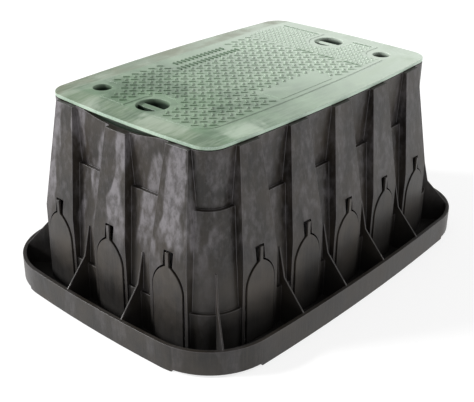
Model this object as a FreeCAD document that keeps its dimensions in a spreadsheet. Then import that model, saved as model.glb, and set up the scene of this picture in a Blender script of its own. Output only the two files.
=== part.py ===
import FreeCAD, Part
import math
import os
import Sketcher

# Rectangular in-ground irrigation valve box: one ribbed, corrugated box body that flares into
# a flanged tub, a drop-on lid with two lift pockets and two lock bolts, and sixteen push-in
# pipe knock-outs hung on tabs.  Millimetres.  X runs along the box, Y across it, Z up; the
# origin is the middle of the footprint, on the ground.

SIZES = {
    # lid outline: a rounded rectangle whose four sides bow outwards
    "lid_half_length": 333.7, "lid_half_width": 212.4, "lid_corner_radius": 41.0,
    "long_bow_radius": 3928.0, "short_bow_radius": 2359.0,
    # flange rim outline
    "rim_half_length": 420.5, "rim_half_width": 302.4, "rim_corner_radius": 134.0,
    "rim_long_bow_radius": 4700.0, "rim_short_bow_radius": 2850.0,
    "rim_top": 51.5, "rim_wall": 7.5, "flange_floor": 5.0, "corner_lift": 4.5,
    "lip_wall": 5.0, "lip_half_length": 296.0, "lip_half_width": 191.0,
    # box wall: how far its outside grows past the lid outline, and the heights of its steps
    "wall": 5.0, "rim_land": 6.0, "top_level": 370.5,
    "band_grow": 33.0, "band_top": 86.0,
    "foot_grow": 27.0, "waist_grow": 22.0, "waist_level": 160.0,
    "ledge_grow": 7.0, "ledge_level": 268.0,
    # pilasters
    "pilaster_foot_grow": 37.0, "pilaster_top_grow": 8.0, "pilaster_knee": 168.0,
    "pilaster_foot_half": 43.0, "pilaster_knee_half": 41.3, "pilaster_top_half": 24.0,
    "long_pitch": 121.5, "short_pitch": 139.0,
    # shovel slots in the short sides
    "slot_radius": 435.0, "slot_depth": 10.2,
    # knock-outs
    "plate_half": 33.0, "plate_foot": 11.5, "plate_shoulder": 118.0, "plate_arch_radius": 52.2,
    "plate_thick": 4.5, "plate_proud": 2.0, "tab_half": 3.5, "tab_top": 191.5,
    "plate_gap": 3.0, "notch_half": 10.5, "tab_gap": 0.5,
    # gussets in the flange trough
    "gusset_thick": 3.0, "gusset_tip_grow": 25.0, "gusset_tip_level": 160.0,
    "gusset_bend_grow": 38.5, "gusset_bend_level": 103.0, "gusset_rim_level": 50.0,
    # lid
    "lid_bottom": 371.7, "lid_plate": 6.7, "lid_crown": 3.3, "lid_plateau_rise": 1.2,
    "plateau_half_length": 290.0, "plateau_half_width": 160.0, "plateau_corner_radius": 40.0,
    "crown_margin": 4.0, "lift_bay_x": 247.0, "lift_bay_radius": 37.0, "bolt_bay_radius": 31.0,
    "skirt_inset": 8.5, "skirt_wall": 4.0, "skirt_bottom": 344.0, "rib_thick": 3.0,
    "hole_x": 255.0, "hole_y": 131.0, "bolt_hole_radius": 17.5, "lift_hole_radius": 30.0,
    "cup_wall": 4.0, "cup_floor_top": 348.4, "cup_floor": 5.0,
    "bar_half": 7.0, "bar_drop": 2.0, "bar_deep": 14.0,
    # lock bolts, washers, captive nuts and the lugs that hold them
    "bolt_radius": 5.0, "bolt_length": 35.0, "head_flats": 16.0, "head_tall": 6.4,
    "shank_hole_radius": 5.5, "washer_radius": 10.5, "washer_bore": 5.3, "washer_thick": 2.0,
    "nut_flats": 16.0, "nut_tall": 8.0, "nut_bore": 5.05, "nut_pocket_flats": 16.6,
    "lug_bottom": 318.0, "lug_top": 338.0, "lug_radius": 17.0,
    "shelf_thick": 6.0, "shelf_reach_x": 215.0, "shelf_reach_y": 96.0,
}
LONG_COUNT, SHORT_COUNT = 5, 3
EMBED = 1.0          # how far a joined block reaches into its neighbour
CLEAR = 2.0          # how far a cutting tool reaches past the face it cuts
ROOT_REACH = 12.0    # how far a pilaster block starts inside the lid's outline
LEAN_BACK = 6.0      # extra depth of an opening, as the face leans back beside the tab
WEB_ROOT = 9.0       # how far a gusset starts inside the outer face of the wall it stands on
CORNER_FAN = 54.0    # angle of a corner gusset from the X axis, in degrees
NUT_PLAY = 0.5       # room above a captive nut in its pocket
NUT_RISE = 0.3       # how far the nut's underside stands above the lug's

doc = FreeCAD.newDocument("valve_box")
sheet = doc.addObject("Spreadsheet::Sheet", "Sizes")
for row, (alias, value) in enumerate(SIZES.items(), start=1):
    sheet.set("A%d" % row, alias)
    sheet.set("B%d" % row, str(value))
    sheet.setAlias("B%d" % row, alias)
doc.recompute()

Vec = FreeCAD.Vector
UP = Vec(0, 0, 1)


def size(alias):
    return float(sheet.get(alias))


def bind(target, **cells):
    """Tie properties of an object to sheet expressions."""
    for prop, expression in cells.items():
        target.setExpression(prop.replace("__", "."), expression)


# ---------------------------------------------------------------- outlines
# sizes of each outline: half length, half width, short and long sides' bows, corner radius
OUTLINES = {
    "lid": ("lid_half_length", "lid_half_width", "short_bow_radius", "long_bow_radius",
            "lid_corner_radius"),
    "rim": ("rim_half_length", "rim_half_width", "rim_short_bow_radius", "rim_long_bow_radius",
            "rim_corner_radius"),
    "plateau": ("plateau_half_length", "plateau_half_width", "short_bow_radius",
                "long_bow_radius", "plateau_corner_radius"),
}


def corner_centre(half_x, half_y, bow_x, bow_y, radius):
    """Centre of the corner arc that touches both bowed sides from inside."""
    reach_x, reach_y = bow_x - half_x, bow_y - half_y      # side-arc centres: (-reach_x, 0), (0, -reach_y)
    from_x, from_y = bow_x - radius, bow_y - radius
    gap = math.hypot(reach_x, reach_y)
    along = (from_x ** 2 - from_y ** 2 + gap ** 2) / (2 * gap)
    off = math.sqrt(from_x ** 2 - along ** 2)
    unit_x, unit_y = reach_x / gap, -reach_y / gap
    return -reach_x + along * unit_x - off * unit_y, along * unit_y + off * unit_x


def bowed_sketch(name, family, grow, level):
    """Closed outline of eight tangent arcs, grown evenly past one of the named outlines."""
    names = OUTLINES[family]
    half_x, half_y, bow_x, bow_y, radius = (size(n) for n in names)
    extra = grow_value(grow)
    reach_x, reach_y = bow_x - half_x, bow_y - half_y
    cx, cy = corner_centre(half_x, half_y, bow_x, bow_y, radius)
    tilt_x = math.atan2(cy, cx + reach_x)
    tilt_y = math.atan2(cx, cy + reach_y)
    quarter = math.pi / 2
    arcs = [
        (-reach_x, 0, bow_x, -tilt_x, tilt_x),
        (cx, cy, radius, tilt_x, quarter - tilt_y),
        (0, -reach_y, bow_y, quarter - tilt_y, quarter + tilt_y),
        (-cx, cy, radius, quarter + tilt_y, 2 * quarter - tilt_x),
        (reach_x, 0, bow_x, 2 * quarter - tilt_x, 2 * quarter + tilt_x),
        (-cx, -cy, radius, 2 * quarter + tilt_x, 3 * quarter - tilt_y),
        (0, reach_y, bow_y, 3 * quarter - tilt_y, 3 * quarter + tilt_y),
        (cx, -cy, radius, 3 * quarter + tilt_y, 4 * quarter - tilt_x),
    ]
    sketch = doc.addObject("Sketcher::SketchObject", name)
    for x, y, arc_radius, start, end in arcs:
        circle = Part.Circle(Vec(x, y, 0), UP, arc_radius + extra)
        sketch.addGeometry(Part.ArcOfCircle(circle, start, end))
    count = len(arcs)
    for i in range(count):
        sketch.addConstraint(Sketcher.Constraint("Tangent", i, 2, (i + 1) % count, 1))
    for i in (0, 4):
        sketch.addConstraint(Sketcher.Constraint("PointOnObject", i, 3, -1))
    for i in (2, 6):
        sketch.addConstraint(Sketcher.Constraint("PointOnObject", i, 3, -2))
    for first, second in ((1, 3), (1, 5), (1, 7), (0, 4), (2, 6)):
        sketch.addConstraint(Sketcher.Constraint("Equal", first, second))
    half_x_name, half_y_name, bow_x_name, bow_y_name, radius_name = names
    measures = [
        (Sketcher.Constraint("Radius", 1, radius + extra), "Sizes.%s + %s" % (radius_name, grow)),
        (Sketcher.Constraint("Radius", 0, bow_x + extra), "Sizes.%s + %s" % (bow_x_name, grow)),
        (Sketcher.Constraint("Radius", 2, bow_y + extra), "Sizes.%s + %s" % (bow_y_name, grow)),
        (Sketcher.Constraint("DistanceX", 0, 3, -1, 1, reach_x),
         "Sizes.%s - Sizes.%s" % (bow_x_name, half_x_name)),
        (Sketcher.Constraint("DistanceX", -1, 1, 4, 3, reach_x),
         "Sizes.%s - Sizes.%s" % (bow_x_name, half_x_name)),
        (Sketcher.Constraint("DistanceY", 2, 3, -1, 1, reach_y),
         "Sizes.%s - Sizes.%s" % (bow_y_name, half_y_name)),
        (Sketcher.Constraint("DistanceY", -1, 1, 6, 3, reach_y),
         "Sizes.%s - Sizes.%s" % (bow_y_name, half_y_name)),
    ]
    for constraint, expression in measures:
        index = sketch.addConstraint(constraint)
        sketch.setExpression("Constraints[%d]" % index, expression)
    sketch.setExpression("Placement.Base.z", level)
    return sketch


def grow_value(expression):
    """Number that a sheet expression stands for, to draw a sketch at its final size."""
    return float(sheet.evalExpression(expression))


def prism(name, family, grow, bottom, top):
    """Upright block on a bowed outline between two levels."""
    block = doc.addObject("Part::Extrusion", name)
    block.Base = bowed_sketch(name + "_outline", family, grow, bottom)
    block.DirMode = "Custom"
    block.Dir = UP
    block.Solid = True
    bind(block, LengthFwd="(%s) - (%s)" % (top, bottom))
    return block


def frustum(name, bottom_grow, bottom, top_grow, top, top_family="lid"):
    """Block whose outside leans from the grown lid outline to another outline above it."""
    block = doc.addObject("Part::Loft", name)
    block.Sections = [bowed_sketch(name + "_foot", "lid", bottom_grow, bottom),
                      bowed_sketch(name + "_head", top_family, top_grow, top)]
    block.Solid = True
    block.Ruled = True
    return block


# ---------------------------------------------------------------- stations along the walls
class Station:
    """A place on one of the four bowed walls: its frame has u along, v up and w outwards."""

    TURNS = {"front": 0, "right": 90, "back": 180, "left": -90}

    def __init__(self, wall, along):
        self.wall = wall
        self.long = wall in ("front", "back")
        self.bow = "long_bow_radius" if self.long else "short_bow_radius"
        self.half = "lid_half_width" if self.long else "lid_half_length"
        self.turn = self.TURNS[wall] + math.degrees(math.asin(along / size(self.bow)))
        wall_turn = FreeCAD.Rotation(UP, self.TURNS[wall])
        self.centre = wall_turn.multVec(Vec(0, size(self.bow) - size(self.half), 0))
        self.rotation = FreeCAD.Rotation(UP, self.turn).multiply(FreeCAD.Rotation(Vec(1, 0, 0), 90))

    def placement(self, out=0.0):
        """Frame with its origin at ground level, the given distance from the bow's centre."""
        return FreeCAD.Placement(self.centre + self.rotation.multVec(Vec(0, 0, out)), self.rotation)

    def out(self, grow):
        """Expression for a distance from the bow's centre, grown past the lid's edge."""
        return "Sizes.%s + %s" % (self.bow, grow)


def stations():
    """Every pilaster and knock-out station, in order round the box."""
    found = []
    for wall in ("front", "right", "back", "left"):
        count, pitch = (LONG_COUNT, "long_pitch") if wall in ("front", "back") else \
            (SHORT_COUNT, "short_pitch")
        for i in range(count):
            found.append((wall, i + 1, Station(wall, (i - (count - 1) / 2) * size(pitch))))
    return found


def gusset_stations():
    """Stations midway between neighbouring pilasters."""
    found = []
    for wall in ("front", "right", "back", "left"):
        count, pitch = (LONG_COUNT, "long_pitch") if wall in ("front", "back") else \
            (SHORT_COUNT, "short_pitch")
        for i in range(count - 1):
            found.append((wall, i + 1, Station(wall, (i - (count - 2) / 2) * size(pitch))))
    return found


def wedge(name, station, bottom, top, half_bottom, half_top, out_bottom, out_top):
    """Pilaster block: a wedge whose width and reach change from its bottom to its top."""
    block = doc.addObject("Part::Wedge", name)
    inside = station.out("-%g" % ROOT_REACH)
    bind(block, Ymin=bottom, Ymax=top, Xmin="-(%s)" % half_bottom, Xmax=half_bottom,
         X2min="-(%s)" % half_top, X2max=half_top, Zmin=inside, Z2min=inside,
         Zmax=station.out(out_bottom), Z2max=station.out(out_top))
    block.Placement = station.placement()
    return block


def pilaster(tag, station, hollow_top):
    """Outer block pair and inner hollow pair of one pilaster."""
    knee, top = "Sizes.pilaster_knee", "Sizes.top_level"
    foot_half, knee_half = "Sizes.pilaster_foot_half", "Sizes.pilaster_knee_half"
    top_half, wall = "Sizes.pilaster_top_half", " - Sizes.wall"
    foot_grow, top_grow = "Sizes.pilaster_foot_grow", "Sizes.pilaster_top_grow"
    outer = [wedge(tag + "_lower", station, "0", knee, foot_half, knee_half, foot_grow, foot_grow),
             wedge(tag + "_upper", station, knee, top, knee_half, top_half, foot_grow, top_grow)]
    inner = [wedge(tag + "_hollow_lower", station, "-%g" % CLEAR, knee, foot_half + wall,
                   knee_half + wall, foot_grow + wall, foot_grow + wall),
             wedge(tag + "_hollow_upper", station, knee, hollow_top, knee_half + wall,
                   top_half + wall, foot_grow + wall, top_grow + wall)]
    return outer, inner


# ---------------------------------------------------------------- knock-out profile
def arch_sketch(sketch, half, foot, shoulder, radius, neck, top):
    """Bottle-shaped profile: upright sides, shoulders on tangent arcs, and a narrow neck."""
    half_v, foot_v, shoulder_v, radius_v, neck_v, top_v = (
        grow_value(e) for e in (half, foot, shoulder, radius, neck, top))
    inset = radius_v - half_v
    rise = math.sqrt(radius_v ** 2 - (neck_v + inset) ** 2)
    lean = math.atan2(rise, neck_v + inset)
    crown = shoulder_v + rise
    right_arc = Part.Circle(Vec(-inset, shoulder_v, 0), UP, radius_v)
    left_arc = Part.Circle(Vec(inset, shoulder_v, 0), UP, radius_v)
    corners = [Vec(-half_v, foot_v, 0), Vec(half_v, foot_v, 0), Vec(half_v, shoulder_v, 0),
               Vec(neck_v, crown, 0), Vec(neck_v, top_v, 0), Vec(-neck_v, top_v, 0),
               Vec(-neck_v, crown, 0), Vec(-half_v, shoulder_v, 0)]
    sketch.addGeometry(Part.LineSegment(corners[0], corners[1]))
    sketch.addGeometry(Part.LineSegment(corners[1], corners[2]))
    sketch.addGeometry(Part.ArcOfCircle(right_arc, 0, lean))
    sketch.addGeometry(Part.LineSegment(corners[3], corners[4]))
    sketch.addGeometry(Part.LineSegment(corners[4], corners[5]))
    sketch.addGeometry(Part.LineSegment(corners[5], corners[6]))
    sketch.addGeometry(Part.ArcOfCircle(left_arc, math.pi - lean, math.pi))
    sketch.addGeometry(Part.LineSegment(corners[7], corners[0]))
    for first, second in ((0, 1), (2, 3), (3, 4), (4, 5), (5, 6), (7, 0)):
        sketch.addConstraint(Sketcher.Constraint("Coincident", first, 2, second, 1))
    sketch.addConstraint(Sketcher.Constraint("Tangent", 1, 2, 2, 1))
    sketch.addConstraint(Sketcher.Constraint("Tangent", 6, 2, 7, 1))
    for line in (1, 3, 5, 7):
        sketch.addConstraint(Sketcher.Constraint("Vertical", line))
    sketch.addConstraint(Sketcher.Constraint("Symmetric", 0, 1, 0, 2, -2))
    sketch.addConstraint(Sketcher.Constraint("Symmetric", 4, 1, 4, 2, -2))
    sketch.addConstraint(Sketcher.Constraint("Equal", 2, 6))
    measures = [
        (Sketcher.Constraint("DistanceX", -1, 1, 0, 2, half_v), half),
        (Sketcher.Constraint("DistanceY", -1, 1, 0, 2, foot_v), foot),
        (Sketcher.Constraint("DistanceY", -1, 1, 1, 2, shoulder_v), shoulder),
        (Sketcher.Constraint("DistanceY", -1, 1, 7, 1, shoulder_v), shoulder),
        (Sketcher.Constraint("Radius", 2, radius_v), radius),
        (Sketcher.Constraint("DistanceX", -1, 1, 4, 1, neck_v), neck),
        (Sketcher.Constraint("DistanceY", -1, 1, 4, 1, top_v), top),
    ]
    for constraint, expression in measures:
        index = sketch.addConstraint(constraint)
        sketch.setExpression("Constraints[%d]" % index, expression)


def knock_out_opening(tag, station):
    """Tool that cuts one knock-out's opening, with the slots beside its tab."""
    sketch = doc.addObject("Sketcher::SketchObject", tag + "_profile")
    arch_sketch(sketch, "Sizes.plate_half + Sizes.plate_gap", "Sizes.plate_foot - Sizes.plate_gap",
                "Sizes.plate_shoulder", "Sizes.plate_arch_radius + Sizes.plate_gap",
                "Sizes.notch_half", "Sizes.tab_top + Sizes.tab_gap")
    outside = size(station.bow) + size("pilaster_foot_grow")
    sketch.Placement = station.placement(outside - size("wall") - CLEAR - LEAN_BACK)
    cutter = doc.addObject("Part::Extrusion", tag)
    cutter.Base = sketch
    cutter.DirMode = "Normal"
    cutter.Solid = True
    bind(cutter, LengthFwd="Sizes.wall + %g" % (2 * CLEAR + LEAN_BACK))
    return cutter


def knock_out_plate(wall, number, station):
    """Loose plate that closes one opening, standing a little proud of the pilaster."""
    label = "knockout_%s_%d" % (wall, number)
    body = doc.addObject("PartDesign::Body", label)
    body.Label = label
    sketch = body.newObject("Sketcher::SketchObject", label + "_profile")
    attach(sketch, body, "XY_Plane")
    arch_sketch(sketch, "Sizes.plate_half", "Sizes.plate_foot", "Sizes.plate_shoulder",
                "Sizes.plate_arch_radius", "Sizes.tab_half", "Sizes.tab_top")
    pad = body.newObject("PartDesign::Pad", label + "_pad")
    pad.Profile = sketch
    bind(pad, Length="Sizes.plate_thick")
    inner = size(station.bow) + size("pilaster_foot_grow") + size("plate_proud") - size("plate_thick")
    body.Placement = station.placement(inner)
    return body


def attach(sketch, body, role):
    """Fix a sketch to one of its own body's origin planes."""
    plane = next(f for f in body.Origin.OriginFeatures if f.Role == role)
    sketch.AttachmentSupport = [(plane, "")]
    sketch.MapMode = "FlatFace"


# ---------------------------------------------------------------- flange trough
def rim_out(station):
    """Distance from the bow's centre to the middle of the rim wall, along a station's line."""
    key, half = ("rim_long_bow_radius", "rim_half_width") if station.long else \
        ("rim_short_bow_radius", "rim_half_length")
    wall_turn = FreeCAD.Rotation(UP, Station.TURNS[station.wall])
    rim_centre = wall_turn.multVec(Vec(0, size(key) - size(half), 0))
    radius = size(key) - size("rim_wall") / 2
    return ray_to_circle(station.centre, station.rotation.multVec(UP), rim_centre, radius)


def ray_to_circle(start, heading, centre, radius):
    """Distance along a level ray to the far side of a circle round the given centre."""
    offset = start - centre
    middle = offset.dot(heading)
    return -middle + math.sqrt(middle ** 2 - offset.dot(offset) + radius ** 2)


def gusset(tag, placement, wall_out, tip_out, bend_out, far_out):
    """Thin web from the box wall down to the top of the rim, with a bent upper edge."""
    floor = size("corner_lift") + size("flange_floor") / 2
    outline = [Vec(wall_out, floor, 0), Vec(far_out, floor, 0),
               Vec(far_out, size("gusset_rim_level"), 0),
               Vec(bend_out, size("gusset_bend_level"), 0),
               Vec(tip_out, size("gusset_tip_level"), 0),
               Vec(wall_out, size("gusset_tip_level"), 0)]
    sketch = doc.addObject("Sketcher::SketchObject", tag + "_profile")
    count = len(outline)
    for i in range(count):
        sketch.addGeometry(Part.LineSegment(outline[i], outline[(i + 1) % count]))
    for i in range(count):
        sketch.addConstraint(Sketcher.Constraint("Coincident", i, 2, (i + 1) % count, 1))
    for point, expression in ((2, "Sizes.gusset_rim_level"), (3, "Sizes.gusset_bend_level"),
                              (4, "Sizes.gusset_tip_level"), (5, "Sizes.gusset_tip_level")):
        constraint = Sketcher.Constraint("DistanceY", -1, 1, point, 1, outline[point].y)
        index = sketch.addConstraint(constraint)
        sketch.setExpression("Constraints[%d]" % index, expression)
    # the sketch's x is the station's outward w and its y is the station's upward v
    sketch.Placement = placement.multiply(FreeCAD.Placement(
        Vec(0, 0, 0), FreeCAD.Rotation(Vec(0, 1, 0), -90)))
    web = doc.addObject("Part::Extrusion", tag)
    web.Base = sketch
    web.DirMode = "Normal"
    web.Solid = True
    web.Symmetric = True
    bind(web, LengthFwd="Sizes.gusset_thick")
    return web


def side_gussets():
    """Webs between the pilasters of all four walls."""
    webs = []
    for wall, number, station in gusset_stations():
        edge = size(station.bow)
        webs.append(gusset("gusset_%s_%d" % (wall, number), station.placement(),
                           edge + size("foot_grow") - WEB_ROOT,
                           edge + size("gusset_tip_grow"), edge + size("gusset_bend_grow"),
                           rim_out(station)))
    return webs


def corner_gussets():
    """One web on each corner column, fanned out towards the rim's corner."""
    webs = []
    lid_x, lid_y = corner_centre(*(size(n) for n in OUTLINES["lid"]))
    rim_x, rim_y = corner_centre(*(size(n) for n in OUTLINES["rim"]))
    fan = math.radians(CORNER_FAN)
    edge = size("lid_corner_radius")
    for side_x in (-1, 1):
        for side_y in (-1, 1):
            heading = Vec(side_x * math.cos(fan), side_y * math.sin(fan), 0)
            centre = Vec(side_x * lid_x, side_y * lid_y, 0)
            rim = Vec(side_x * rim_x, side_y * rim_y, 0)
            far = ray_to_circle(centre, heading, rim, size("rim_corner_radius") - size("rim_wall") / 2)
            turn = math.degrees(math.atan2(heading.y, heading.x)) + 90
            rotation = FreeCAD.Rotation(UP, turn).multiply(FreeCAD.Rotation(Vec(1, 0, 0), 90))
            tag = "gusset_corner_%s%s" % ("l" if side_x < 0 else "r", "f" if side_y < 0 else "b")
            webs.append(gusset(tag, FreeCAD.Placement(centre, rotation),
                               edge + size("foot_grow") - WEB_ROOT,
                               edge + size("gusset_tip_grow"), edge + size("gusset_bend_grow"),
                               far))
    return webs


def box_block(name, x, y, z, length, width, height):
    """Plain block from its lowest corner and its three sizes, all sheet expressions."""
    block = doc.addObject("Part::Box", name)
    bind(block, Length=length, Width=width, Height=height, Placement__Base__x=x,
         Placement__Base__y=y, Placement__Base__z=z)
    return block


def fuse(name, pieces):
    joined = doc.addObject("Part::MultiFuse", name)
    joined.Shapes = pieces
    joined.Refine = True
    return joined


def cut(name, base, tool):
    trimmed = doc.addObject("Part::Cut", name)
    trimmed.Base = base
    trimmed.Tool = tool
    trimmed.Refine = True
    return trimmed


def flange():
    """Shallow tub round the foot: an upturned rim, a floor, and a low lip under each side."""
    tub = cut("flange_tub", prism("flange_block", "rim", "0", "Sizes.corner_lift", "Sizes.rim_top"),
              prism("flange_trough", "rim", "0 - Sizes.rim_wall",
                    "Sizes.corner_lift + Sizes.flange_floor", "Sizes.rim_top + %g" % CLEAR))
    ring = cut("lip_ring",
               prism("lip_block", "rim", "0", "0", "Sizes.corner_lift + %g" % EMBED),
               prism("lip_hollow", "rim", "0 - Sizes.lip_wall", "-%g" % CLEAR,
                     "Sizes.corner_lift + %g" % CLEAR))
    notches = []
    for side_x in (-1, 1):
        for side_y in (-1, 1):
            low_x = "Sizes.lip_half_length" if side_x > 0 else "-Sizes.rim_half_length"
            low_y = "Sizes.lip_half_width" if side_y > 0 else "-Sizes.rim_half_width"
            tag = "lip_notch_%s%s" % ("l" if side_x < 0 else "r", "f" if side_y < 0 else "b")
            notches.append(box_block(tag, low_x, low_y, "-%g" % CLEAR,
                                     "Sizes.rim_half_length - Sizes.lip_half_length",
                                     "Sizes.rim_half_width - Sizes.lip_half_width",
                                     "Sizes.corner_lift + %g" % (2 * CLEAR)))
    return [tub, cut("lips", ring, fuse("lip_notches", notches))]


# ---------------------------------------------------------------- nut lugs
BOLT_SIDES = ((-1, 1), (1, -1))          # the two bolts stand in opposite corners


def hexagon(name, flats, height, x, y, z):
    """Six-sided prism from its size across flats."""
    block = doc.addObject("Part::Prism", name)
    block.Polygon = 6
    bind(block, Circumradius="%s / 2 / cos(30)" % flats, Height=height, Placement__Base__x=x,
         Placement__Base__y=y, Placement__Base__z=z)
    return block


def cylinder(name, radius, height, x, y, z):
    block = doc.addObject("Part::Cylinder", name)
    bind(block, Radius=radius, Height=height, Placement__Base__x=x, Placement__Base__y=y,
         Placement__Base__z=z)
    return block


def bolt_x(side):
    return "Sizes.hole_x" if side > 0 else "-Sizes.hole_x"


def bolt_y(side):
    return "Sizes.hole_y" if side > 0 else "-Sizes.hole_y"


def lugs():
    """Corner shelf and round boss for each captive nut, and the tools for bore and pocket."""
    solids, tools = [], []
    for number, (side_x, side_y) in enumerate(BOLT_SIDES, start=1):
        tag = "lug_%d" % number
        x, y = bolt_x(side_x), bolt_y(side_y)
        low_x = "Sizes.shelf_reach_x" if side_x > 0 else "-Sizes.lid_half_length"
        low_y = "Sizes.shelf_reach_y" if side_y > 0 else "-Sizes.lid_half_width"
        slab = box_block(tag + "_slab", low_x, low_y, "Sizes.lug_top - Sizes.shelf_thick",
                         "Sizes.lid_half_length - Sizes.shelf_reach_x",
                         "Sizes.lid_half_width - Sizes.shelf_reach_y", "Sizes.shelf_thick")
        shelf = doc.addObject("Part::MultiCommon", tag + "_shelf")
        shelf.Shapes = [slab, prism(tag + "_trim", "lid", "0 - Sizes.rim_land + %g" % EMBED,
                                    "Sizes.lug_bottom", "Sizes.lug_top")]
        boss = cylinder(tag + "_boss", "Sizes.lug_radius", "Sizes.lug_top - Sizes.lug_bottom",
                        x, y, "Sizes.lug_bottom")
        web_low_x = x if side_x > 0 else "-Sizes.lid_half_length"
        web = box_block(tag + "_web", web_low_x, "%s - Sizes.wall / 2" % y, "Sizes.lug_bottom",
                        "Sizes.lid_half_length - Sizes.hole_x", "Sizes.wall",
                        "Sizes.lug_top - Sizes.lug_bottom")
        trimmed_web = doc.addObject("Part::MultiCommon", tag + "_web_trimmed")
        trimmed_web.Shapes = [web, prism(tag + "_web_trim", "lid",
                                         "0 - Sizes.rim_land + %g" % EMBED,
                                         "Sizes.lug_bottom", "Sizes.lug_top")]
        solids += [shelf, boss, trimmed_web]
        tools.append(cylinder(tag + "_bore", "Sizes.shank_hole_radius",
                              "Sizes.lug_top - Sizes.lug_bottom + %g" % (2 * CLEAR), x, y,
                              "Sizes.lug_bottom - %g" % CLEAR))
        tools.append(hexagon(tag + "_pocket", "Sizes.nut_pocket_flats",
                             "Sizes.nut_tall + %g" % (CLEAR + NUT_PLAY), x, y,
                             "Sizes.lug_bottom - %g" % CLEAR))
    return solids, tools


# ---------------------------------------------------------------- box body
def box_body():
    """The one-piece moulding that everything else sits in."""
    wall = " - Sizes.wall"
    outer = [prism("band", "lid", "Sizes.band_grow", "0", "Sizes.band_top"),
             frustum("lower_wall", "Sizes.foot_grow", "Sizes.band_top", "Sizes.waist_grow",
                     "Sizes.waist_level"),
             frustum("middle_wall", "Sizes.waist_grow", "Sizes.waist_level", "Sizes.ledge_grow",
                     "Sizes.ledge_level"),
             prism("upper_wall", "lid", "0", "Sizes.ledge_level", "Sizes.top_level")]
    inner = [prism("band_hollow", "lid", "Sizes.band_grow" + wall, "-%g" % CLEAR,
                   "Sizes.band_top" + wall),
             frustum("lower_hollow", "Sizes.foot_grow" + wall, "Sizes.band_top" + wall,
                     "Sizes.waist_grow" + wall, "Sizes.waist_level"),
             frustum("middle_hollow", "Sizes.waist_grow" + wall, "Sizes.waist_level",
                     "Sizes.ledge_grow" + wall, "Sizes.ledge_level" + wall),
             prism("upper_hollow", "lid", "0 - Sizes.rim_land", "Sizes.ledge_level" + wall,
                   "Sizes.top_level + %g" % CLEAR)]
    openings = []
    for wall_name, number, station in stations():
        tag = "pilaster_%s_%d" % (wall_name, number)
        slotted = not station.long and number == (SHORT_COUNT + 1) // 2
        hollow_top = "Sizes.top_level - Sizes.wall" + (" - Sizes.slot_depth" if slotted else "")
        blocks, hollows = pilaster(tag, station, hollow_top)
        outer += blocks
        inner += hollows
        openings.append(knock_out_opening("opening_%s_%d" % (wall_name, number), station))
    outer += flange() + side_gussets() + corner_gussets()
    shell = cut("shell", fuse("outside", outer), fuse("inside", inner))
    lug_solids, lug_tools = lugs()
    slot = cylinder("shovel_slots", "Sizes.slot_radius", "2 * Sizes.rim_half_length",
                    "-Sizes.rim_half_length", "0",
                    "Sizes.top_level - Sizes.slot_depth + Sizes.slot_radius")
    slot.Placement.Rotation = FreeCAD.Rotation(Vec(0, 1, 0), 90)
    with_lugs = fuse("shell_with_lugs", [shell] + lug_solids)
    body = cut("box_body", with_lugs, fuse("cutters", openings + lug_tools + [slot]))
    body.Label = "box_body"
    return body


# ---------------------------------------------------------------- lid
def field_bays(crown):
    """Tools for the smooth bays in the tread field, round the lift pockets and the bolt cups."""
    tools = []
    deep = "Sizes.lid_plateau_rise + %g" % CLEAR
    for side in (-1, 1):
        centre = "Sizes.lift_bay_x" if side > 0 else "-Sizes.lift_bay_x"
        low_x = centre if side > 0 else "-Sizes.lid_half_length"
        tag = "lift_bay_%s" % ("l" if side < 0 else "r")
        tools.append(cylinder(tag + "_end", "Sizes.lift_bay_radius", deep, centre, "0", crown))
        tools.append(box_block(tag + "_run", low_x, "-Sizes.lift_bay_radius", crown,
                               "Sizes.lid_half_length - Sizes.lift_bay_x",
                               "2 * Sizes.lift_bay_radius", deep))
    for number, (side_x, side_y) in enumerate(BOLT_SIDES, start=1):
        x, y = bolt_x(side_x), bolt_y(side_y)
        tag = "bolt_bay_%d" % number
        tools.append(cylinder(tag + "_end", "Sizes.bolt_bay_radius", deep, x, y, crown))
        # two runs carry the bay out to both borders at its corner
        low_x = x if side_x > 0 else "-Sizes.lid_half_length"
        low_y = ("%s - Sizes.bolt_bay_radius" % y) if side_y > 0 else "-Sizes.lid_half_width"
        tools.append(box_block(tag + "_run_x", low_x, low_y, crown,
                               "Sizes.lid_half_length - Sizes.hole_x",
                               "Sizes.lid_half_width - Sizes.hole_y + Sizes.bolt_bay_radius", deep))
        low_x = ("%s - Sizes.bolt_bay_radius" % x) if side_x > 0 else "-Sizes.lid_half_length"
        low_y = y if side_y > 0 else "-Sizes.lid_half_width"
        tools.append(box_block(tag + "_run_y", low_x, low_y, crown,
                               "Sizes.lid_half_length - Sizes.hole_x + Sizes.bolt_bay_radius",
                               "Sizes.lid_half_width - Sizes.hole_y", deep))
    return tools


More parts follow.
